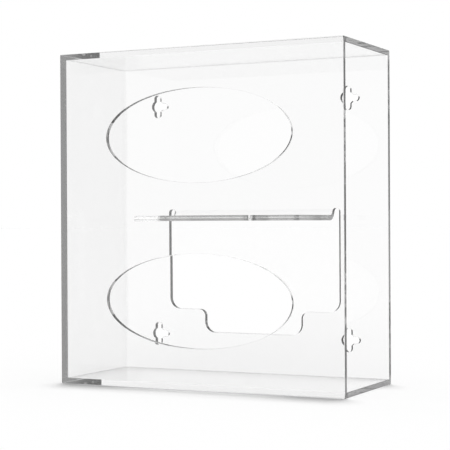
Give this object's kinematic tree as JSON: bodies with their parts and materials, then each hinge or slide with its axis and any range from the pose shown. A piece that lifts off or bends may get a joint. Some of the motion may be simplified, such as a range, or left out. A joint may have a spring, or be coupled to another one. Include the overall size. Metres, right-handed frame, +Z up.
{
  "type": "glove dispenser",
  "caption": "Clear acrylic glove dispenser: an open-ended box with a shelf between stacked glove boxes, oval openings in front and keyholes behind.",
  "frame": {"origin": "middle of the underside of the bottom plate", "axes": "+X towards the open side, +Y from the front with the oval openings to the back with the keyholes, +Z up"},
  "size_m": [0.2586, 0.106, 0.28],
  "materials": {
    "clear_acrylic": "clear cast sheet with polished edges"
  },
  "bodies": {
    "root": {"top_plate": "clear_acrylic", "bottom_plate": "clear_acrylic", "side_panel": "clear_acrylic", "front_panel": "clear_acrylic", "back_panel": "clear_acrylic"}
  },
  "joints": []
}
